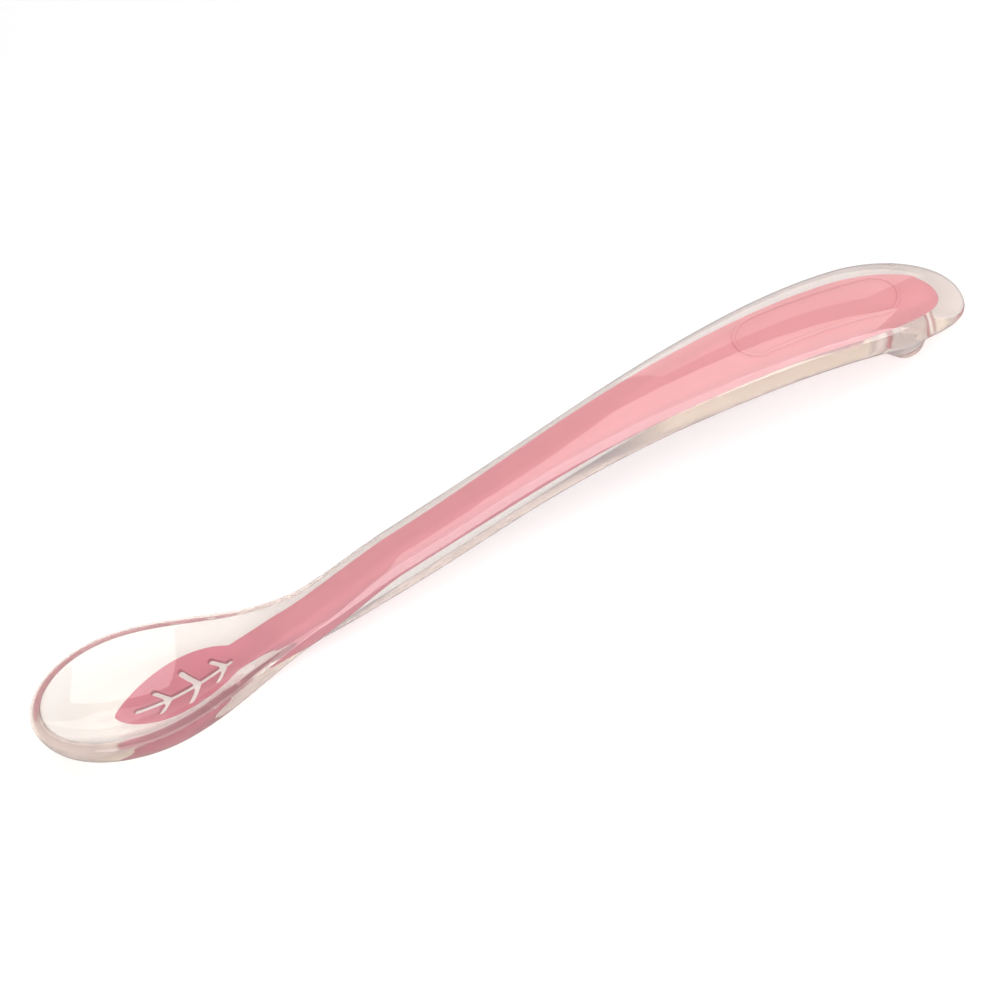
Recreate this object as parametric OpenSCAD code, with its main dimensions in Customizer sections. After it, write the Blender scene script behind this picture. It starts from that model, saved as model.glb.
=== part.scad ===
// Baby feeding spoon: a stiff coloured core sealed all round inside one clear soft moulding.
// X runs from the bowl tip to the handle end, Z is up, and the spoon rests on Z = 0.
// All distances named "..._at" are measured along X from the bowl tip.

/* [Overall] */
// Length from the bowl tip to the handle end
spoon_length = 155; // [148:1:164]
// Fullness of the outside sections, 2 is an ellipse and more is squarer
section_power = 2.2; // [2:0.1:2.8]

/* [Bowl] */
// Widest outside width of the bowl
bowl_width = 24; // [21:0.5:27]
// Distance from the tip to the widest place
bowl_widest_at = 16.2; // [14:0.1:18]
// Height of the rim line at the tip
tip_height = 10.7; // [10.3:0.1:12]
// Depth of the outside below the rim line
bowl_drop = 8; // [7.8:0.1:8.8]
// Depth of the hollow below the top of the lip
dish_depth = 6; // [5:0.1:6.2]
// Distance from the tip to the end of the hollow
dish_end_at = 41; // [37:0.5:46]
// Width of the rim between the outside and the hollow
rim_width = 1.6; // [1.2:0.1:2]
// Height of the rounded lip above the rim line
lip_height = 0.7; // [0.4:0.1:1.2]

/* [Neck and handle] */
// Distance from the tip to the narrowest place of the neck
neck_at = 46.5; // [45:0.5:52]
// Width at the neck
neck_width = 9.4; // [8.6:0.2:11]
// Thickness at the neck
neck_thickness = 8.4; // [8:0.1:9]
// Height of the middle line at its low place behind the bowl
neck_height = 5.6; // [5.3:0.1:6.2]
// Width of the slim middle of the handle
middle_width = 9.8; // [9:0.2:12]
// Width of the grip at the end
grip_width = 17; // [15.6:0.2:20]
// Thickness of the grip at the end
grip_thickness = 10; // [9.4:0.1:10.6]
// Distance from the tip to the top of the arch
arch_at = 111; // [104:1:116]
// Height of the middle line at the top of the arch
arch_height = 12.8; // [11:0.2:15]
// Height of the middle line at the end
end_height = 2.8; // [2.6:0.1:4]
// Length of the rounded end
end_round = 16; // [14:0.2:18]

/* [Foot] */
// Distance from the handle end to the middle of the foot
foot_from_end = 10.8; // [10:0.1:12]
// Length of the foot's flat sole along the spoon
foot_length = 5; // [4:0.1:6]
// Width of the foot's flat sole across the spoon
foot_width = 8.8; // [6:0.2:10]

/* [Core] */
// Width of the bar in the slim middle of the handle
bar_width = 5.2; // [4.6:0.1:6]
// Width of the bar in the grip
grip_bar_width = 10; // [9.2:0.1:11]
// Thickness of the bar in the slim middle of the handle
bar_thickness = 3.2; // [2.8:0.1:3.6]
// Thickness of the bar in the grip
grip_bar_thickness = 3.8; // [3.2:0.1:4.2]
// Clear material above the stem in the neck
stem_cover = 1.3; // [1:0.1:1.5]
// Clear material above the bar in the slim middle of the handle
bar_cover = 2; // [1.7:0.1:2.3]
// Clear material above the bar in the grip
grip_cover = 3.1; // [2.7:0.1:3.4]
// Clear material past the end of the core
end_cover = 4.5; // [3.4:0.1:6]
// Fullness of the bar's sections
core_power = 2.8; // [2.2:0.1:3.4]

/* [Leaf] */
// Distance from the bowl tip to the tip of the leaf
leaf_tip_at = 11.3; // [10.8:0.1:12.4]
// Length of the leaf
leaf_length = 23; // [21:0.2:24]
// Width of the leaf
leaf_width = 10.9; // [9.6:0.1:11.6]
// Thickness of the leaf
leaf_thickness = 1; // [0.8:0.1:1.1]
// Clear material above the leaf
leaf_cover = 0.5; // [0.4:0.1:0.6]
// Width of the stem where it leaves the leaf
stem_width = 5.8; // [5:0.1:6.4]

/* [Vein slots] */
// Number of vein pairs
vein_pairs = 3; // [2:1:4]
// Width of each slot
slot_width = 1.1; // [0.8:0.1:1.3]
// Distance each vein of the middle pair reaches out to the side
vein_reach = 3.3; // [2.8:0.1:3.8]
// Share of that reach which each pair before or behind the middle loses
vein_shrink = 0.3; // [0.1:0.05:0.4]
// Distance from the leaf tip to the first vein's root
first_vein_at = 8.8; // [8:0.1:9.6]
// Distance from one vein root to the next
vein_pitch = 5; // [4:0.1:5.2]
// Distance each vein sweeps forward from root to tip
vein_sweep = 2; // [1.6:0.1:2.8]

/* [Panel border] */
// Length of the border
panel_length = 25; // [20:0.5:26]
// Width of the border
panel_width = 7; // [5.6:0.2:7.6]
// Distance from the handle end to the middle of the border
panel_from_end = 21.5; // [20:0.5:24]
// Width of the raised line
line_width = 0.7; // [0.5:0.1:1]
// Height of the raised line
line_height = 0.3; // [0.2:0.1:0.5]

/* [Hidden] */
bowl_half = bowl_width / 2;
neck_half = neck_width / 2;
middle_half = middle_width / 2;
grip_half = grip_width / 2;
leaf_half = leaf_width / 2;
stem_half = stem_width / 2;
slot_half = slot_width / 2;
// The middle of the handle starts to widen here and is full at the end
widening_from = 77;
widening_to = 142;
// The crown of the neck grows out of the hollow between these places
crown_from = 38.5;
crown_to = neck_at + 15;
// Deepest place of the hollow, the run of its rise to the tip, and how quickly it runs out to the neck
dish_deepest_at = 16;
dish_front_run = 14;
dish_run_out = 1.75;
// Slopes of the middle line at its two ends
tip_slope = -0.06;
end_slope = -0.61;
low_at = 39;
// Sections fan out around these places at the tip and at the end
front_fan_at = 10;
end_fan = 6.4;
core_front_fan = 1.6;
core_end_fan = 2.6;
// Plan shape of the leaf
leaf_mid_at = leaf_tip_at + leaf_length / 2;
leaf_fullness = 1.4;
// Fullness of the leaf's sections, almost square at the edges
leaf_power = 6;
// Steps of the sections
dish_steps = 6;
lip_steps = 4;
under_steps = 9;
core_steps = 7;
border_steps = 10;
// Flare of the foot from the sole upward, and how far it is buried
foot_flare = 0.55;
foot_height = 6.4;
foot_at = spoon_length - foot_from_end;

// Which piece to draw

// Rise from 0 to 1 between a and b with level ends
function ease(a, b, x) = let (t = max(0, min(1, (x - a) / (b - a)))) t * t * (3 - 2 * t);

// Cubic from height z0 and slope s0 at x0 to height z1 and slope s1 at x1
function cubic(x, x0, z0, s0, x1, z1, s1) =
    let (h = x1 - x0, t = (x - x0) / h, t2 = t * t, t3 = t2 * t)
    (2 * t3 - 3 * t2 + 1) * z0 + (t3 - 2 * t2 + t) * h * s0 + (3 * t2 - 2 * t3) * z1 + (t3 - t2) * h * s1;

// Rounded section height at r, from 1 in the middle to 0 at the edge
function round_off(r, power) = pow(max(0, 1 - pow(r, power)), 1 / power);

// Height of the rim line and of the handle's middle line
function mid_z(x) =
    x < low_at ? cubic(x, 0, tip_height, tip_slope, low_at, neck_height, 0)
    : x < arch_at ? cubic(x, low_at, neck_height, 0, arch_at, arch_height, 0)
    : cubic(x, arch_at, arch_height, 0, spoon_length, end_height, end_slope);

// Half width of the outside before the tip and the end are rounded
function strip_half(x) =
    bowl_half
    + (neck_half - bowl_half) * ease(bowl_widest_at, neck_at, x)
    + (middle_half - neck_half) * ease(neck_at, neck_at + 24, x)
    + (grip_half - middle_half) * ease(widening_from, widening_to, x);

// Half thickness of the handle, and the rise above and drop below the middle line
function handle_half(x) = neck_thickness / 2
    + (grip_thickness - neck_thickness) / 2 * ease(widening_from, widening_to, x);
function rise(x) = lip_height + (handle_half(x) - lip_height) * ease(crown_from, crown_to, x);
function drop(x) = bowl_drop + (handle_half(x) - bowl_drop) * ease(bowl_widest_at, neck_at, x);

// Depth of the hollow along the middle of the bowl
function hollow(x) =
    let (front = max(0, dish_deepest_at - x) / dish_front_run,
         back = max(0, min(1, (x - dish_deepest_at) / (dish_end_at - dish_deepest_at))))
    dish_depth * (1 - front * front) * pow(1 - back * back, dish_run_out);

// Height of the top surface along the middle
function top_z(x) = mid_z(x) + rise(x) - hollow(x);

// Stations of the outside as [x of the edge, half width, x of the spine]
body_stations = concat(
    [for (i = [0:15]) let (a = 90 * i / 16)
        [bowl_widest_at * (1 - cos(a)), bowl_half * sin(a),
         front_fan_at + (bowl_widest_at - front_fan_at) * (1 - cos(a))]],
    [for (i = [0:52]) let (x = bowl_widest_at + (spoon_length - end_round - bowl_widest_at) * i / 52)
        [x, strip_half(x), x]],
    [for (i = [1:12]) let (a = 90 * i / 12, x = spoon_length - end_round * (1 - sin(a)))
        [x, i == 12 ? 0 : strip_half(x) * cos(a),
         spoon_length - end_round + (end_round - end_fan) * sin(a)]]
);

// Point of the outside's top at fraction r from spine to edge, where the hollow ends at fraction inner
function body_top(st, r, inner) =
    let (x = st[2] + r * (st[0] - st[2]))
    [x, r * st[1],
     mid_z(x) + rise(st[2]) * round_off(r, section_power)
     - hollow(st[2]) * max(0, 1 - pow(r / inner, 2))];

// Point of the outside's underside at angle a from the edge
function body_under(st, a) =
    let (r = a == 90 ? 0 : pow(cos(a), 2 / section_power), x = st[2] + r * (st[0] - st[2]))
    [x, r * st[1], mid_z(x) - drop(st[2]) * pow(sin(a), 2 / section_power)];

// Half section of the outside: across the hollow, over the lip and back underneath
function body_row(st) =
    let (inner = 1 - rim_width / norm([st[0] - st[2], st[1]]))
    concat(
        [for (k = [0:dish_steps]) body_top(st, inner * k / dish_steps, inner)],
        [for (k = [1:lip_steps]) body_top(st, inner + (1 - inner) * sin(90 * k / lip_steps), inner)],
        [for (k = [1:under_steps]) body_under(st, 90 * k / under_steps)]
    );

// Leaf outline, stem and bar of the core in plan
core_end_at = spoon_length - end_cover;
core_round = end_round - 2;
function leaf_edge(x) =
    let (t = (x - leaf_mid_at) / (leaf_length / 2))
    abs(t) >= 1 ? 0 : leaf_half * pow(1 - t * t, leaf_fullness / 2);
function bar_half(x) = stem_half
    + (bar_width / 2 - stem_half) * ease(44, 60, x)
    + (grip_bar_width - bar_width) / 2 * ease(62, 142, x);
function core_half(x) = max(leaf_edge(x), x > leaf_mid_at ? bar_half(max(x, neck_at - 14)) : 0);

// Half thickness and middle height of the core, which keeps its cover below the top surface
function core_thick(x) = leaf_thickness / 2
    + (bar_thickness - leaf_thickness) / 2 * ease(29, 50, x)
    + (grip_bar_thickness - bar_thickness) / 2 * ease(80, 125, x);
function core_cover(x) = leaf_cover
    + (stem_cover - leaf_cover) * ease(29, 38, x)
    + (bar_cover - stem_cover) * ease(46, 58, x)
    + (grip_cover - bar_cover) * ease(92, 145, x);
function core_mid_z(x) = top_z(x) - core_cover(x) - core_thick(x);
// The leaf has squarer edges than the bar
function core_fullness(x) = leaf_power + (core_power - leaf_power) * ease(29, 50, x);
// The leaf is bowed across like the hollow above it
function core_bow(x) = hollow(x) / pow(strip_half(max(x, bowl_widest_at)) - rim_width, 2);

// Stations of the core as [x of the edge, half width, x of the spine]
core_stations = concat(
    [for (i = [0:12]) let (a = 90 * i / 12, x = leaf_mid_at - leaf_length / 2 * cos(a))
        [x, i == 0 ? 0 : leaf_edge(x),
         leaf_tip_at + core_front_fan + (leaf_length / 2 - core_front_fan) * (1 - cos(a))]],
    [for (i = [1:14]) let (x = leaf_mid_at + i) [x, core_half(x), x]],
    [for (i = [1:24]) let (x = leaf_mid_at + 14 + (core_end_at - core_round - leaf_mid_at - 14) * i / 24)
        [x, core_half(x), x]],
    [for (i = [1:8]) let (a = 90 * i / 8, x = core_end_at - core_round * (1 - sin(a)))
        [x, i == 8 ? 0 : bar_half(x) * cos(a),
         core_end_at - core_round + (core_round - core_end_fan) * sin(a)]]
);

// Point of the core at fraction r from spine to edge, on the top (side 1) or underneath (side -1)
function core_point(st, r, side) =
    let (x = st[2] + r * (st[0] - st[2]), y = r * st[1])
    [x, y, core_mid_z(x) + core_bow(x) * y * y + side * core_thick(st[2]) * round_off(r, core_fullness(st[2]))];

// Half section of the core, over the top and back underneath
function core_row(st) = concat(
    [for (k = [0:core_steps]) core_point(st, sin(90 * k / core_steps), 1)],
    [for (k = [1:core_steps]) core_point(st, k == core_steps ? 0 : cos(90 * k / core_steps), -1)]
);

// Closed skin over half sections that start and end on the middle plane, with its mirror image
module mirrored_skin(rows) {
    n = len(rows);
    m = len(rows[0]);
    right = [for (row = rows) for (p = row) [p.x - spoon_length / 2, p.y, p.z]];
    left = [for (p = right) [p.x, -p.y, p.z]];
    function at(i, j, side) =
        i * m + j + (side == 0 || i == 0 || i == n - 1 || j == 0 || j == m - 1 ? 0 : n * m);
    polyhedron(
        points = concat(right, left),
        faces = [
            for (i = [0:n - 2]) for (j = [0:m - 2]) for (side = [0, 1])
                let (a = at(i, j, side), b = at(i + 1, j, side),
                     c = at(i + 1, j + 1, side), d = at(i, j + 1, side),
                     pair = (i < n / 2) == (j < m / 2) ? [[a, c, b], [a, d, c]] : [[a, d, b], [b, d, c]])
                each side == 0 ? pair : [for (t = pair) [t[0], t[2], t[1]]]
        ],
        convexity = 8
    );
}

// Rounded slot between two points, seen from above
module slot(p, q) {
    way = q - p;
    translate(p) rotate(atan2(way.y, way.x)) {
        translate([0, -slot_half]) square([norm(way), slot_width]);
        circle(d = slot_width, $fn = 32);
        translate([norm(way), 0]) circle(d = slot_width, $fn = 32);
    }
}

// Midrib and vein slots as cut right through the leaf
module vein_slots() {
    start = [leaf_tip_at + 3.4, 0];
    middle = (vein_pairs - 1) / 2;
    last = leaf_tip_at + first_vein_at + vein_pitch * (vein_pairs - 1);
    translate([-spoon_length / 2, 0, 0]) linear_extrude(height = 20) {
        slot(start, [last + 0.8, 0]);
        for (i = [0:vein_pairs - 1]) for (side = [-1, 1])
            translate([leaf_tip_at + first_vein_at + vein_pitch * i, 0])
                scale([1, side * (1 - vein_shrink * abs(i - middle))])
                    slot([0, 0], [-vein_sweep, vein_reach]);
    }
}

// Point on the middle of the border line, at fraction t of the way round
panel_at = spoon_length - panel_from_end;
panel_radius = panel_width / 2;
panel_straight = panel_length / 2 - panel_radius;
border_path = [
    for (end = [0, 1]) for (i = [0:border_steps])
        let (a = 180 * end - 90 + 180 * i / border_steps)
        [panel_at + (end == 0 ? 1 : -1) * panel_straight + panel_radius * cos(a), panel_radius * sin(a),
         cos(a), sin(a)]
];

// Height of the core's top beside its middle
function core_top_z(x, y) =
    let (left = max(0, x - (core_end_at - core_round)) / core_round,
         half = bar_half(x) * sqrt(1 - left * left))
    core_mid_z(x) + core_thick(x) * round_off(min(1, abs(y) / half), core_power);

// Raised line of the border, following the top of the core
module panel_border() {
    n = len(border_path);
    function corner(i, k) =
        let (p = border_path[i % n], out = k == 1 || k == 2 ? 1 : -1,
             x = p[0] + out * line_width / 2 * p[2], y = p[1] + out * line_width / 2 * p[3])
        [x - spoon_length / 2, y, core_top_z(x, y) + (k < 2 ? -0.5 : line_height)];
    points = [for (i = [0:n - 1]) for (k = [0:3]) corner(i, k)];
    polyhedron(
        points = points,
        faces = [
            for (i = [0:n - 1]) for (k = [0:3])
                let (a = i * 4 + k, b = i * 4 + (k + 1) % 4,
                     c = ((i + 1) % n) * 4 + (k + 1) % 4, d = ((i + 1) % n) * 4 + k)
                each [[a, b, c], [a, c, d]]
        ],
        convexity = 6
    );
}

// Foot under the handle end, flat at the bottom and flaring into the handle
module foot() {
    half = foot_length / 2;
    top_half = half + foot_flare * foot_height;
    arm = foot_width / 2 - half;
    translate([foot_at - spoon_length / 2, 0, 0]) {
        for (side = [-1, 1]) translate([0, side * arm, 0])
            cylinder(h = foot_height, r1 = half, r2 = top_half, $fn = 48);
        rotate([90, 0, 0]) linear_extrude(height = 2 * arm, center = true)
            polygon([[-half, 0], [half, 0], [top_half, foot_height], [-top_half, foot_height]]);
    }
}

// Stiff coloured insert: leaf in the bowl, stem and bar with the border line on top
module core() {
    color([0.90, 0.55, 0.58]) union() {
        difference() {
            mirrored_skin([for (st = core_stations) core_row(st)]);
            vein_slots();
        }
        panel_border();
    }
}

// Clear soft moulding round the core: bowl, neck, handle and foot in one piece
module silicone_body() {
    color([0.93, 0.92, 0.90]) difference() {
        union() {
            mirrored_skin([for (st = body_stations) body_row(st)]);
            foot();
        }
        translate([-spoon_length, -spoon_length / 2, -20]) cube([2 * spoon_length, spoon_length, 20]);
        core();
    }
}

core();
silicone_body();
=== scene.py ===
# Baby feeding spoon: a stiff pink core sealed inside one clear silicone moulding, on a white studio floor.
# X runs from the bowl tip to the handle end, Z is up, and lengths are in metres.
# Names that end in "_at" are distances along X from the bowl tip.
import bmesh
import bpy
import numpy as np
from mathutils import Matrix, Quaternion, Vector


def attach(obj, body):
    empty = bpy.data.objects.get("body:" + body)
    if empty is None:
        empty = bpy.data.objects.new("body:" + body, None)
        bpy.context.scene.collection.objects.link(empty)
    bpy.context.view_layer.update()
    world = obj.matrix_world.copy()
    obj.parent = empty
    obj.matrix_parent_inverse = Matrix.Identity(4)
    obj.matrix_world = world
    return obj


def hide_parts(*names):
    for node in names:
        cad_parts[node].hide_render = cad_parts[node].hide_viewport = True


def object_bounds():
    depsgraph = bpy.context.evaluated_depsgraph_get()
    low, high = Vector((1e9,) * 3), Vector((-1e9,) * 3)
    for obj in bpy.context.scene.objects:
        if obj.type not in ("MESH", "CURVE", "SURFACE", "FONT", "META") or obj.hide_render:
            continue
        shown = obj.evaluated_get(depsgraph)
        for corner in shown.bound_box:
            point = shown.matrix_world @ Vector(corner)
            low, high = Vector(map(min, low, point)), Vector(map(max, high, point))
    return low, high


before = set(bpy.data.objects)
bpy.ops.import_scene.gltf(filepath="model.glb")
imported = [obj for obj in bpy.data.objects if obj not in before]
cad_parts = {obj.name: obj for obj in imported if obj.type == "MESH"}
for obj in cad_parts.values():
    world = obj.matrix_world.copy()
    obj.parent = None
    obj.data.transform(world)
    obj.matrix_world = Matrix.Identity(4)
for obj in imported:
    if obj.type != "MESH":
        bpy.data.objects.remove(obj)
cad_low, cad_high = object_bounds()


# Stiff core
# One injection moulding of pink polypropylene: a slotted leaf in the bowl, a stem, and a bar in the handle.
# It is moulded first and then laid in a second mould, so its form follows the outside that covers it.
mm = 0.001
spoon_length = cad_high.x - cad_low.x
bowl_half = (cad_high.y - cad_low.y) / 2
bowl_widest_at = 16.2 * mm
neck_at = 46.5 * mm
neck_half = 4.7 * mm
middle_half = 4.9 * mm
grip_half = 8.5 * mm
widening = (77 * mm, 142 * mm)
rim_width = 1.6 * mm
section_power = 2.2


def ease(start, stop, x):
    """Rise from 0 to 1 between start and stop, with level ends."""
    t = np.clip((x - start) / (stop - start), 0, 1)
    return t * t * (3 - 2 * t)


def cubic(x, x0, z0, slope0, x1, z1, slope1):
    """Height on the cubic through two places, with a slope at each."""
    run = x1 - x0
    t = (x - x0) / run
    heights = (2 * t**3 - 3 * t**2 + 1) * z0 + (3 * t**2 - 2 * t**3) * z1
    return heights + run * ((t**3 - 2 * t**2 + t) * slope0 + (t**3 - t**2) * slope1)


def mid_z(x):
    """Height of the bowl's rim line and of the handle's middle line."""
    low_at, arch_at = 39 * mm, 111 * mm
    tip_z, low_z, arch_z, end_z = 10.7 * mm, 5.6 * mm, 12.8 * mm, 2.8 * mm
    tip_slope, level, end_slope = -0.06, 0, -0.61
    bowl = cubic(x, 0, tip_z, tip_slope, low_at, low_z, level)
    rising = cubic(x, low_at, low_z, level, arch_at, arch_z, level)
    falling = cubic(x, arch_at, arch_z, level, spoon_length, end_z, end_slope)
    return np.where(x < low_at, bowl, np.where(x < arch_at, rising, falling))


def strip_half(x):
    """Half width of the outside before the tip and the end are rounded."""
    middle_at = neck_at + 24 * mm
    bowl = bowl_half + (neck_half - bowl_half) * ease(bowl_widest_at, neck_at, x)
    middle = (middle_half - neck_half) * ease(neck_at, middle_at, x)
    return bowl + middle + (grip_half - middle_half) * ease(*widening, x)


def handle_half(x):
    """Half thickness of the handle."""
    neck_thick, grip_thick = 4.2 * mm, 5 * mm
    return neck_thick + (grip_thick - neck_thick) * ease(*widening, x)


def rise(x):
    """Height of the outside above the middle line."""
    lip_height = 0.7 * mm
    lip_end_at, handle_at = 38.5 * mm, neck_at + 15 * mm
    return lip_height + (handle_half(x) - lip_height) * ease(lip_end_at, handle_at, x)


def hollow(x):
    """Depth of the bowl's hollow along its middle."""
    depth, deepest_at, end_at, front_run = 6 * mm, 16 * mm, 41 * mm, 14 * mm
    back_power = 1.75
    front = np.maximum(deepest_at - x, 0) / front_run
    back = np.clip((x - deepest_at) / (end_at - deepest_at), 0, 1)
    return depth * (1 - front * front) * (1 - back * back) ** back_power


def round_off(r, power):
    """Height of a rounded section at r, from 1 in the middle to 0 at the edge."""
    return np.clip(1 - r**power, 0, 1) ** (1 / power)


leaf_tip_at = 11.3 * mm
leaf_half_length = 11.5 * mm
leaf_mid_at = leaf_tip_at + leaf_half_length
core_end_at = spoon_length - 4.5 * mm
core_round = 14 * mm
stem_from, stem_to = 29 * mm, 50 * mm
# The sections fan out from these distances behind the leaf's tip and before the bar's end
leaf_fan, bar_fan = 1.6 * mm, 2.6 * mm


def leaf_edge(x):
    """Half width of the leaf."""
    widest, fullness = 5.45 * mm, 0.7
    t = np.clip((x - leaf_mid_at) / leaf_half_length, -1, 1)
    return widest * (1 - t * t) ** fullness


def stepped(x, first, *steps):
    """A size that eases from its first value to further ones, each as (start, stop, value)."""
    size, last = first, first
    for start, stop, following in steps:
        size = size + (following - last) * ease(start, stop, x)
        last = following
    return size


def bar_half(x):
    """Half width of the stem and of the bar behind it."""
    stem, middle, grip = 2.9 * mm, 2.6 * mm, 5 * mm
    return stepped(x, stem, (44 * mm, 60 * mm, middle), (62 * mm, 142 * mm, grip))


def core_thick(x):
    """Half thickness of the core: a thin leaf that grows into the bar."""
    leaf, middle, grip = 0.5 * mm, 1.6 * mm, 1.9 * mm
    return stepped(x, leaf, (stem_from, stem_to, middle), (80 * mm, 125 * mm, grip))


def core_mid_z(x):
    """Height of the core's middle, which keeps its cover below the top of the outside."""
    leaf, neck, middle, grip = 0.5 * mm, 1.3 * mm, 2 * mm, 3.1 * mm
    cover = stepped(x, leaf, (29 * mm, 38 * mm, neck), (46 * mm, 58 * mm, middle), (92 * mm, 145 * mm, grip))
    return mid_z(x) + rise(x) - hollow(x) - cover - core_thick(x)


def core_row(edge_x, half, spine_x):
    """Half section of the core from the middle of its top, round the edge, to the middle underneath."""
    angle = np.linspace(0, np.pi, 49)
    r = np.sin(angle)
    x = spine_x + r * (edge_x - spine_x)
    y = r * half
    leaf_power, bar_power = 6, 2.8
    power = leaf_power + (bar_power - leaf_power) * ease(stem_from, stem_to, spine_x)
    thick = np.sign(np.cos(angle)) * core_thick(spine_x) * round_off(r, power)
    dish_half = strip_half(np.maximum(x, bowl_widest_at)) - rim_width
    bow = hollow(x) * np.minimum(y / dish_half, 1) ** 2
    return np.stack([x, y, core_mid_z(x) + bow + thick], axis=1)


def skin(name, half_rows):
    """Closed smooth mesh object over half sections that start and end on the middle plane."""
    rings = [np.concatenate([row, row[-2:0:-1] * (1, -1, 1)]) for row in half_rows]
    size = len(rings[0])
    points = np.concatenate(rings) + (cad_low.x, 0, 0)
    faces = [
        (i * size + j, i * size + (j + 1) % size, (i + 1) * size + (j + 1) % size, (i + 1) * size + j)
        for i in range(len(rings) - 1)
        for j in range(size)
    ]
    mesh = bpy.data.meshes.new(name)
    mesh.from_pydata(points.tolist(), [], faces)
    bm = bmesh.new()
    bm.from_mesh(mesh)
    bmesh.ops.remove_doubles(bm, verts=bm.verts, dist=1e-7)
    bmesh.ops.recalc_face_normals(bm, faces=bm.faces)
    bm.to_mesh(mesh)
    bm.free()
    mesh.shade_smooth()
    piece = bpy.data.objects.new(name, mesh)
    bpy.context.scene.collection.objects.link(piece)
    return piece


core_rows = []
for a in np.linspace(0, np.pi / 2, 40):
    x = leaf_mid_at - leaf_half_length * np.cos(a)
    spine_x = leaf_tip_at + leaf_fan + (leaf_half_length - leaf_fan) * (1 - np.cos(a))
    core_rows.append(core_row(x, leaf_edge(x), spine_x))
for x in np.linspace(leaf_mid_at, core_end_at - core_round, 240)[1:]:
    core_rows.append(core_row(x, max(leaf_edge(x), bar_half(x)), x))
for a in np.linspace(0, np.pi / 2, 40)[1:]:
    x = core_end_at - core_round * (1 - np.sin(a))
    spine_x = core_end_at - core_round + (core_round - bar_fan) * np.sin(a)
    core_rows.append(core_row(x, bar_half(x) * np.cos(a), spine_x))
core = skin("pink_core", core_rows)


def linear(hex_colour):
    """Linear RGBA of an sRGB hex colour."""
    srgb = np.array([int(hex_colour[i:i + 2], 16) for i in (1, 3, 5)]) / 255
    rgb = np.where(srgb <= 0.04045, srgb / 12.92, ((srgb + 0.055) / 1.055) ** 2.4)
    return (*rgb.tolist(), 1)


def add(tree, kind, inputs=None, **settings):
    """Add a node with its settings, and set or link its inputs by name or number."""
    node = tree.nodes.new(kind)
    for key, value in settings.items():
        setattr(node, key, value)
    for key, value in (inputs or {}).items():
        for item in value if isinstance(value, list) else [value]:
            if isinstance(item, bpy.types.NodeSocket):
                tree.links.new(item, node.inputs[key])
            else:
                node.inputs[key].default_value = item
    return node


def new_tree(name, sockets):
    """Geometry Nodes tree with named inputs, its group input node, and a geometry output."""
    tree = bpy.data.node_groups.new(name, "GeometryNodeTree")
    for label, kind in sockets.items():
        tree.interface.new_socket(label, in_out="INPUT", socket_type="NodeSocket" + kind)
    tree.interface.new_socket("Geometry", in_out="OUTPUT", socket_type="NodeSocketGeometry")
    return tree, add(tree, "NodeGroupInput").outputs


def applied(piece):
    """The piece with its modifiers turned into plain mesh."""
    evaluated = piece.evaluated_get(bpy.context.evaluated_depsgraph_get())
    mesh = bpy.data.meshes.new_from_object(evaluated)
    piece.modifiers.clear()
    piece.data = mesh
    return piece


def grown(name, tree, values):
    """Plain mesh object made by a tree from named values."""
    piece = bpy.data.objects.new(name, bpy.data.meshes.new(name))
    bpy.context.scene.collection.objects.link(piece)
    modifier = piece.modifiers.new(name, "NODES")
    modifier.node_group = tree
    for socket in tree.interface.items_tree:
        if socket.in_out == "INPUT":
            modifier[socket.identifier] = values[socket.name]
    return applied(piece)


# Moulded polypropylene: even pink with a faint cloud of pigment, and a satin skin from a spark-eroded mould.
# The silicone is bonded to it and bends light almost as it does, so the core has hardly any gloss.
pink = bpy.data.materials.new("moulded pink polypropylene")
pink.use_nodes = True
tree = pink.node_tree
shader = tree.nodes["Principled BSDF"]
place = add(tree, "ShaderNodeTexCoord").outputs["Object"]
# Painted veil: the pink is painted paler from the leaf to the handle's end, in place of the light that the
# faintly milky clear cover scatters, which grows as the cover thickens towards the end
painted_veil_from_x, painted_veil_to_x = -50 * mm, 50 * mm
length = add(tree, "ShaderNodeSeparateXYZ", {"Vector": place}).outputs["X"]
reach = add(tree, "ShaderNodeMapRange", {"Value": length, "From Min": painted_veil_from_x, "From Max": painted_veil_to_x})
# The ramp runs from the darker pink at the leaf to the palest painted-veil pink at the handle's end
painted_veil_pink = add(tree, "ShaderNodeValToRGB", {"Fac": reach.outputs["Result"]})
painted_veil_pink.color_ramp.elements[0].color = linear("#CC7E92")
painted_veil_pink.color_ramp.elements[1].color = linear("#E89DAA")
for position, colour in ((0.15, "#D68E9E"), (0.5, "#D990A0")):
    painted_veil_pink.color_ramp.elements.new(position).color = linear(colour)
cloud_size = 6 * mm
cloud = add(tree, "ShaderNodeTexNoise", {"Vector": place, "Scale": 1 / cloud_size, "Detail": 3})
level = add(tree, "ShaderNodeMapRange", {"Value": cloud.outputs["Fac"], "To Min": 0.95, "To Max": 1.05})
pink_with_painted_veil = add(tree, "ShaderNodeHueSaturation",
              {"Color": painted_veil_pink.outputs["Color"], "Value": level.outputs["Result"]})
tree.links.new(pink_with_painted_veil.outputs["Color"], shader.inputs["Base Color"])
# The mould's grain is about 0.05 mm and is drawn at 0.25 mm to show in a render
grain_size, grain_depth = 0.25 * mm, 0.02 * mm
grain = add(tree, "ShaderNodeTexNoise", {"Vector": place, "Scale": 1 / grain_size, "Detail": 2})
bump = add(tree, "ShaderNodeBump", {"Height": grain.outputs["Fac"], "Strength": 0.2, "Distance": grain_depth})
tree.links.new(bump.outputs["Normal"], shader.inputs["Normal"])
shader.inputs["Roughness"].default_value = 0.45
shader.inputs["IOR"].default_value = 1.49
shader.inputs["Specular IOR Level"].default_value = 0.08

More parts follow.
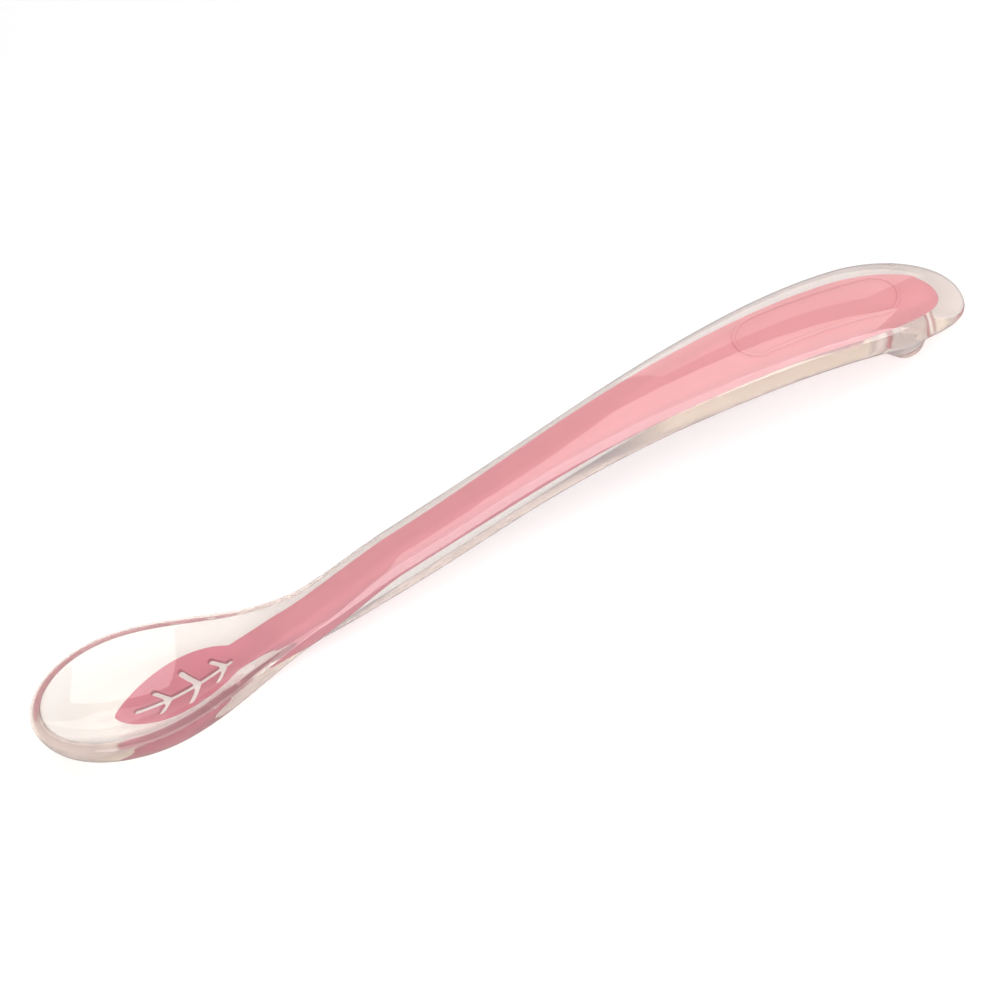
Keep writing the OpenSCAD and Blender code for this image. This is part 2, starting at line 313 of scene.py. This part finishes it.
# Slots of the leaf's midrib and vein pairs, as the mould's pins leave them: the outer pairs are narrower
# copies of the middle one, and all go right through the leaf
vein_tree, given = new_tree("vein slots", {
    "Pairs": "Int", "First root": "Float", "Pitch": "Float", "Sweep": "Float", "Reach": "Float",
    "Shrink": "Float", "Slot width": "Float", "Midrib start": "Float", "Midrib end": "Float",
    "Pin length": "Float", "Material": "Material",
})
radius = add(vein_tree, "ShaderNodeMath", {0: given["Slot width"], 1: 0.5}, operation="MULTIPLY").outputs[0]
pin = add(vein_tree, "GeometryNodeMeshCylinder",
          {"Vertices": 24, "Radius": radius, "Depth": given["Pin length"]}).outputs["Mesh"]
back = add(vein_tree, "ShaderNodeMath", {0: given["Sweep"], 1: -1}, operation="MULTIPLY").outputs[0]
veins = []
for side in (-1, 1):
    out = add(vein_tree, "ShaderNodeMath", {0: given["Reach"], 1: side}, operation="MULTIPLY").outputs[0]
    tip = add(vein_tree, "ShaderNodeCombineXYZ", {"X": back, "Y": out}).outputs[0]
    far_pin = add(vein_tree, "GeometryNodeTransform", {"Geometry": pin, "Translation": tip}).outputs[0]
    ends = add(vein_tree, "GeometryNodeJoinGeometry", {"Geometry": [pin, far_pin]}).outputs[0]
    veins.append(add(vein_tree, "GeometryNodeConvexHull", {"Geometry": ends}).outputs[0])
pair = add(vein_tree, "GeometryNodeJoinGeometry", {"Geometry": veins}).outputs[0]
first = add(vein_tree, "ShaderNodeCombineXYZ", {"X": given["First root"]}).outputs[0]
step = add(vein_tree, "ShaderNodeCombineXYZ", {"X": given["Pitch"]}).outputs[0]
roots = add(vein_tree, "GeometryNodeMeshLine",
            {"Count": given["Pairs"], "Start Location": first, "Offset": step}).outputs["Mesh"]
last = add(vein_tree, "ShaderNodeMath", {0: given["Pairs"], 1: 1}, operation="SUBTRACT").outputs[0]
middle = add(vein_tree, "ShaderNodeMath", {0: last, 1: 0.5}, operation="MULTIPLY").outputs[0]
index = add(vein_tree, "GeometryNodeInputIndex").outputs[0]
off = add(vein_tree, "ShaderNodeMath", {0: index, 1: middle}, operation="SUBTRACT").outputs[0]
off = add(vein_tree, "ShaderNodeMath", {0: off}, operation="ABSOLUTE").outputs[0]
loss = add(vein_tree, "ShaderNodeMath", {0: off, 1: given["Shrink"]}, operation="MULTIPLY").outputs[0]
kept = add(vein_tree, "ShaderNodeMath", {0: 1, 1: loss}, operation="SUBTRACT").outputs[0]
scale = add(vein_tree, "ShaderNodeCombineXYZ", {"X": 1, "Y": kept, "Z": 1}).outputs[0]
pairs = add(vein_tree, "GeometryNodeInstanceOnPoints",
            {"Points": roots, "Instance": pair, "Scale": scale}).outputs[0]
rib_pins = []
for end in ("Midrib start", "Midrib end"):
    spot = add(vein_tree, "ShaderNodeCombineXYZ", {"X": given[end]}).outputs[0]
    rib_pin = add(vein_tree, "GeometryNodeTransform", {"Geometry": pin, "Translation": spot}).outputs[0]
    rib_pins.append(rib_pin)
rib = add(vein_tree, "GeometryNodeJoinGeometry", {"Geometry": rib_pins}).outputs[0]
rib = add(vein_tree, "GeometryNodeConvexHull", {"Geometry": rib}).outputs[0]
slots = add(vein_tree, "GeometryNodeJoinGeometry", {"Geometry": [rib, pairs]}).outputs[0]
slots = add(vein_tree, "GeometryNodeRealizeInstances", {"Geometry": slots}).outputs[0]
slots = add(vein_tree, "GeometryNodeSetMaterial", {"Geometry": slots, "Material": given["Material"]})
add(vein_tree, "NodeGroupOutput", {"Geometry": slots.outputs[0]})

leaf_tip_x = cad_low.x + leaf_tip_at
core.data.materials.append(pink)
pins = grown("slot_pins", vein_tree, {
    "Pairs": 3, "First root": leaf_tip_x + 8.8 * mm, "Pitch": 5 * mm, "Sweep": 2 * mm,
    "Reach": 3.3 * mm, "Shrink": 0.3, "Slot width": 1.1 * mm, "Midrib start": leaf_tip_x + 3.4 * mm,
    "Midrib end": leaf_tip_x + 19.6 * mm, "Pin length": 40 * mm, "Material": pink,
})
cut = core.modifiers.new("slots", "BOOLEAN")
cut.object = pins
cut.solver = "EXACT"
cut.use_self = True
applied(core)
bpy.data.objects.remove(pins)
sharp_angle = np.radians(40)
core.data.set_sharp_from_angle(angle=sharp_angle)
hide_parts("core")
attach(core, "root")


# Panel border
# A fine raised line round a pill-shaped place on top of the handle, part of the same pink moulding.
# It is engraved in the mould, so it follows the core's curved top; the place inside it is bare.
border_tree, given = new_tree("line on the core", {
    "Core": "Object", "Length": "Float", "Width": "Float", "Middle": "Float", "Line width": "Float",
    "Material": "Material",
})
frame_curve = add(border_tree, "GeometryNodeCurvePrimitiveQuadrilateral",
                  {"Width": given["Length"], "Height": given["Width"]}).outputs[0]
# The pill's ends are a hair under half its width in radius, so that the corners don't meet
end_share = 0.499
end_radius = add(border_tree, "ShaderNodeMath", {0: given["Width"], 1: end_share}, operation="MULTIPLY")
pill = add(border_tree, "GeometryNodeFilletCurve",
           {"Curve": frame_curve, "Count": 24, "Radius": end_radius.outputs[0]}, mode="POLY").outputs[0]
pill = add(border_tree, "GeometryNodeResampleCurve", {"Curve": pill, "Count": 180}).outputs[0]
# The line is dropped on the core from above, and the bead's middle stands a little proud of it
start_z, drop_length, proud = 30 * mm, 40 * mm, 0.12 * mm
above = add(border_tree, "ShaderNodeCombineXYZ", {"X": given["Middle"], "Z": start_z}).outputs[0]
pill = add(border_tree, "GeometryNodeSetPosition", {"Geometry": pill, "Offset": above}).outputs[0]
target = add(border_tree, "GeometryNodeObjectInfo", {"Object": given["Core"]}).outputs["Geometry"]
drop = add(border_tree, "GeometryNodeRaycast",
           {"Target Geometry": target, "Ray Direction": (0, 0, -1), "Ray Length": drop_length})
pill = add(border_tree, "GeometryNodeSetPosition",
           {"Geometry": pill, "Position": drop.outputs["Hit Position"], "Offset": (0, 0, proud)}).outputs[0]
bead_radius = add(border_tree, "ShaderNodeMath", {0: given["Line width"], 1: 0.5}, operation="MULTIPLY")
bead = add(border_tree, "GeometryNodeCurvePrimitiveCircle",
           {"Resolution": 14, "Radius": bead_radius.outputs[0]}).outputs[0]
line = add(border_tree, "GeometryNodeCurveToMesh", {"Curve": pill, "Profile Curve": bead}).outputs[0]
line = add(border_tree, "GeometryNodeSetShadeSmooth", {"Geometry": line}).outputs[0]
line = add(border_tree, "GeometryNodeRealizeInstances", {"Geometry": line}).outputs[0]
line = add(border_tree, "GeometryNodeSetMaterial", {"Geometry": line, "Material": given["Material"]})
add(border_tree, "NodeGroupOutput", {"Geometry": line.outputs[0]})
border = grown("panel_border", border_tree, {
    "Core": core, "Length": 25 * mm, "Width": 7 * mm, "Middle": cad_high.x - 21.5 * mm,
    "Line width": 0.6 * mm, "Material": pink,
})
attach(border, "root")


# Clear body
# The bowl, neck, handle and foot are one moulding of clear silicone, shot round the core in the second mould.
# It leaves the core sealed on all sides; the bowl's bottom and the foot have small flats to rest on.
bowl_drop = 8 * mm
end_round = 16 * mm
foot_at = spoon_length - 10.8 * mm
# The sections fan out from these distances behind the bowl's tip and before the handle's end
tip_fan, end_fan = 10 * mm, 6.4 * mm


def soft_max(value, level, blend):
    """The larger of two heights with a rounded change between them."""
    return level + (value - level + np.sqrt((value - level) ** 2 + blend**2)) / 2


def foot_z(x, y):
    """Height of the foot's sides above its flat sole, which is rounded in plan."""
    radius, arm, flare, sole_blend = 2.5 * mm, 1.9 * mm, 0.55, 0.15 * mm
    outside = np.hypot(x - foot_at, np.maximum(np.abs(y) - arm, 0)) - radius
    return soft_max(outside, 0, sole_blend) / flare


def body_row(edge_x, half, spine_x):
    """Half section of the outside: across the hollow, over the lip and back underneath."""
    fillet, flat_blend, lip_blend = 1.2 * mm, 0.12 * mm, 0.02
    drop_z = bowl_drop + (handle_half(spine_x) - bowl_drop) * ease(bowl_widest_at, neck_at, spine_x)
    inner = 1 - rim_width / np.hypot(edge_x - spine_x, half)
    r = np.concatenate([
        inner * np.sin(np.linspace(0, np.pi / 2, 30)),
        inner + (1 - inner) * np.sin(np.linspace(0, np.pi / 2, 15)[1:]),
    ])
    x = spine_x + r * (edge_x - spine_x)
    dish = hollow(spine_x) * soft_max(1 - (r / inner) ** 2, 0, lip_blend)
    top = np.stack([x, r * half, mid_z(x) + rise(spine_x) * round_off(r, section_power) - dish], axis=1)
    angle = np.linspace(0, np.pi / 2, 46)[1:]
    r = np.cos(angle) ** (2 / section_power)
    r[-1] = 0
    x = spine_x + r * (edge_x - spine_x)
    z = mid_z(x) - drop_z * np.sin(angle) ** (2 / section_power)
    foot = foot_z(x, r * half)
    mix = np.clip(0.5 + (foot - z) / (2 * fillet), 0, 1)
    z = foot * (1 - mix) + z * mix - fillet * mix * (1 - mix)
    under = np.stack([x, r * half, soft_max(z, 0, flat_blend)], axis=1)
    return np.concatenate([top, under])


body_rows = []
for a in np.linspace(0, np.pi / 2, 56)[:-1]:
    turn = 1 - np.cos(a)
    spine_x = tip_fan + (bowl_widest_at - tip_fan) * turn
    body_rows.append(body_row(bowl_widest_at * turn, bowl_half * np.sin(a), spine_x))
for x in np.linspace(bowl_widest_at, spoon_length - end_round, 210):
    body_rows.append(body_row(x, strip_half(x), x))
for a in np.linspace(0, np.pi / 2, 72)[1:]:
    x = spoon_length - end_round * (1 - np.sin(a))
    spine_x = spoon_length - end_round + (end_round - end_fan) * np.sin(a)
    body_rows.append(body_row(x, strip_half(x) * np.cos(a), spine_x))
body = skin("clear_body", body_rows)

# Clear liquid silicone: glossy like its polished mould, faintly warm, and soft enough to show a slight
# waviness. Lamps shine through it, so that the core and the floor behind it stay bright.
clear = bpy.data.materials.new("clear liquid silicone")
clear.use_nodes = True
tree = clear.node_tree
shader = tree.nodes["Principled BSDF"]
place = add(tree, "ShaderNodeTexCoord").outputs["Object"]
wave_size, wave_depth = 5 * mm, 0.05 * mm
wave = add(tree, "ShaderNodeTexNoise", {"Vector": place, "Scale": 1 / wave_size, "Detail": 1})
bump = add(tree, "ShaderNodeBump", {"Height": wave.outputs["Fac"], "Strength": 0.08, "Distance": wave_depth})
tree.links.new(bump.outputs["Normal"], shader.inputs["Normal"])
haze_size = 0.8 * mm
haze = add(tree, "ShaderNodeTexNoise", {"Vector": place, "Scale": 1 / haze_size, "Detail": 2})
rough = add(tree, "ShaderNodeMapRange", {"Value": haze.outputs["Fac"], "To Min": 0.02, "To Max": 0.06})
tree.links.new(rough.outputs["Result"], shader.inputs["Roughness"])
shader.inputs["IOR"].default_value = 1.41
shader.inputs["Transmission Weight"].default_value = 0.94
# Painted shade: the base colour is painted dark grey where the surface is seen edge-on, so the outline is a
# thin painted darker line, in place of the light lost by a ray that skims the outside and runs far inside it
painted_outline_shade = add(tree, "ShaderNodeLayerWeight").outputs["Facing"]
painted_outline_shade = add(tree, "ShaderNodeMapRange", {"Value": painted_outline_shade, "From Min": 0.66, "From Max": 0.95}).outputs["Result"]
edge = add(tree, "ShaderNodeMixRGB",
           {"Fac": painted_outline_shade, "Color1": linear("#FFFDFA"), "Color2": linear("#5C5256")})
tree.links.new(edge.outputs["Color"], shader.inputs["Base Color"])
# A ray mirrored twice is caught in a rim, where a render gives it up as black: there the silicone glows
# instead with a painted cream light, in place of the room light piped along the rim
ray = add(tree, "ShaderNodeLightPath").outputs
mirrored_twice = 1.5
trapped = add(tree, "ShaderNodeMath", {0: ray["Glossy Depth"], 1: mirrored_twice}, operation="GREATER_THAN")
painted_rim_glow = add(tree, "ShaderNodeEmission", {"Color": linear("#FFF7F2"), "Strength": 1.3})
surface = add(tree, "ShaderNodeMixShader",
              {0: trapped.outputs[0], 1: shader.outputs["BSDF"], 2: painted_rim_glow.outputs["Emission"]})
lamp_way = add(tree, "ShaderNodeBsdfTransparent", {"Color": linear("#F6F1EC")})
surface = add(tree, "ShaderNodeMixShader",
              {0: ray["Is Shadow Ray"], 1: surface.outputs["Shader"], 2: lamp_way.outputs["BSDF"]})
tree.links.new(surface.outputs["Shader"], tree.nodes["Material Output"].inputs["Surface"])
# Thick silicone takes a faint warm tone and is slightly milky; densities are per metre
warm_tone = (0.3, 0.07, 0, 1)
depth = add(tree, "ShaderNodeVolumeAbsorption", {"Color": warm_tone, "Density": 28})
milk = add(tree, "ShaderNodeVolumeScatter", {"Color": (1, 1, 1, 1), "Density": 11})
inside = add(tree, "ShaderNodeAddShader", {0: depth.outputs["Volume"], 1: milk.outputs["Volume"]})
tree.links.new(inside.outputs["Shader"], tree.nodes["Material Output"].inputs["Volume"])
body.data.materials.append(clear)
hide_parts("silicone_body")
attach(body, "root")


# Studio
# A white floor under a large softbox, with a second one behind on the right and a third one low in front; the
# camera looks down on the spoon through a long lens, turned so that the handle rises to the right.
floor_half = 3
floor_mesh = bpy.data.meshes.new("floor")
floor_mesh.from_pydata(
    [(-floor_half, -floor_half, 0), (floor_half, -floor_half, 0), (floor_half, floor_half, 0),
     (-floor_half, floor_half, 0)],
    [], [(0, 1, 2, 3)])
floor = bpy.data.objects.new("floor", floor_mesh)
bpy.context.scene.collection.objects.link(floor)
white = bpy.data.materials.new("white studio board")
white.use_nodes = True
tree = white.node_tree
shader = tree.nodes["Principled BSDF"]
shader.inputs["Base Color"].default_value = linear("#CCCCCC")
shader.inputs["Roughness"].default_value = 0.9
shader.inputs["Specular IOR Level"].default_value = 0
shader.inputs["Emission Color"].default_value = (1, 1, 1, 1)
# The floor is lifted to white where it is seen, straight or through the silicone, and not in gloss
ray = add(tree, "ShaderNodeLightPath").outputs
seen = add(tree, "ShaderNodeMath", {0: ray["Is Camera Ray"], 1: ray["Is Transmission Ray"]},
           operation="MAXIMUM")
floor_glow = 0.5
glow = add(tree, "ShaderNodeMath", {0: seen.outputs[0], 1: floor_glow}, operation="MULTIPLY")
tree.links.new(glow.outputs[0], shader.inputs["Emission Strength"])
floor.data.materials.append(white)


# Two lamps in one plane hide each other in gloss, so the shine stands this far in front of its softbox
shine_gap = 10 * mm


def softbox(name, middle, facing, turn, width, height, radiance, shine):
    """Rectangular lamp of an even brightness that faces a point, and its extra shine for gloss."""
    for label, level, ahead in (("softbox", radiance, 0), ("shine", shine, shine_gap)):
        lamp = bpy.data.lights.new(f"{name}_{label}", "AREA")
        lamp.shape = "RECTANGLE"
        lamp.size, lamp.size_y = width, height
        lamp.energy = level * np.pi * width * height
        piece = bpy.data.objects.new(lamp.name, lamp)
        aim = (Vector(facing) - Vector(middle)).to_track_quat("-Z", "Y")
        piece.rotation_euler = (aim @ Quaternion((0, 0, 1), np.radians(turn))).to_euler()
        piece.location = Vector(middle) + aim @ Vector((0, 0, -ahead))
        piece.visible_camera = False
        piece.visible_diffuse = label == "softbox"
        piece.visible_transmission = False
        bpy.context.scene.collection.objects.link(piece)


softbox("overhead", middle=(0.173, -0.353, 0.6), facing=(0.173, -0.353, 0), turn=-15,
        width=0.8, height=0.95, radiance=2.45, shine=1.2)
softbox("back", middle=(0.32, 0.62, 0.45), facing=(0.32, 0, 0.45), turn=0,
        width=0.7, height=0.8, radiance=1.4, shine=0.3)
softbox("front", middle=(0.1, -0.75, 0.3), facing=(0.1, 0, 0.3), turn=0,
        width=1.2, height=0.6, radiance=1.5, shine=6)

# The room is dim, its walls are lighter in gloss, and through the silicone it is cream all round, but darker
# low down and overhead
world = bpy.data.worlds.new("studio")
bpy.context.scene.world = world
world.use_nodes = True
tree = world.node_tree
room = tree.nodes["Background"]
room.inputs["Color"].default_value = linear("#4D4D4D")
ray = add(tree, "ShaderNodeLightPath").outputs
way = add(tree, "ShaderNodeTexCoord").outputs["Generated"]
upward = add(tree, "ShaderNodeSeparateXYZ", {"Vector": way}).outputs["Z"]
walls = add(tree, "ShaderNodeValToRGB", {"Fac": upward})
walls.color_ramp.elements[0].color = linear("#A0A0A0")
walls.color_ramp.elements[1].position = 0.4
walls.color_ramp.elements[1].color = linear("#D4D4D4")
mirrored = add(tree, "ShaderNodeBackground", {"Color": walls.outputs["Color"]})
outside = add(tree, "ShaderNodeMixShader",
              {0: ray["Is Glossy Ray"], 1: room.outputs["Background"], 2: mirrored.outputs["Background"]})
bright = add(tree, "ShaderNodeValToRGB", {"Fac": upward})
bright.color_ramp.elements[0].color = linear("#B8B8BC")
bright.color_ramp.elements[1].position = 0.97
bright.color_ramp.elements[1].color = linear("#A4A3A8")
for position in (0.35, 0.88):
    bright.color_ramp.elements.new(position).color = linear("#FFF6E6")
refracted = add(tree, "ShaderNodeBackground", {"Color": bright.outputs["Color"], "Strength": 1.45})
whole = add(tree, "ShaderNodeMixShader",
            {0: ray["Is Transmission Ray"], 1: outside.outputs["Shader"], 2: refracted.outputs["Background"]})
tree.links.new(whole.outputs["Shader"], tree.nodes["World Output"].inputs["Surface"])

# The camera's height is 47 degrees, the spoon is seen tipped by 2.9 degrees, and the picture is rolled by 25
tilt, height, roll = np.radians((2.9, 47, 25))
along = Vector((np.cos(tilt), 0, -np.sin(tilt)))
across = Vector((np.cos(height) * np.sin(tilt), np.sin(height), np.cos(height) * np.cos(tilt)))
backward = along.cross(across)
right = np.cos(roll) * along - np.sin(roll) * across
up = np.sin(roll) * along + np.cos(roll) * across
view_middle = 0.77 * mm * along + 5.82 * mm * across
distance, view_width = 1.0, 152.05 * mm
camera_data = bpy.data.cameras.new("camera")
camera_data.lens = camera_data.sensor_width * distance / view_width
camera = bpy.data.objects.new("camera", camera_data)
turned = Matrix((right, up, backward)).transposed().to_4x4()
camera.matrix_world = Matrix.Translation(view_middle + distance * backward) @ turned
bpy.context.scene.collection.objects.link(camera)
bpy.context.scene.camera = camera
bpy.context.scene.view_settings.view_transform = "Standard"
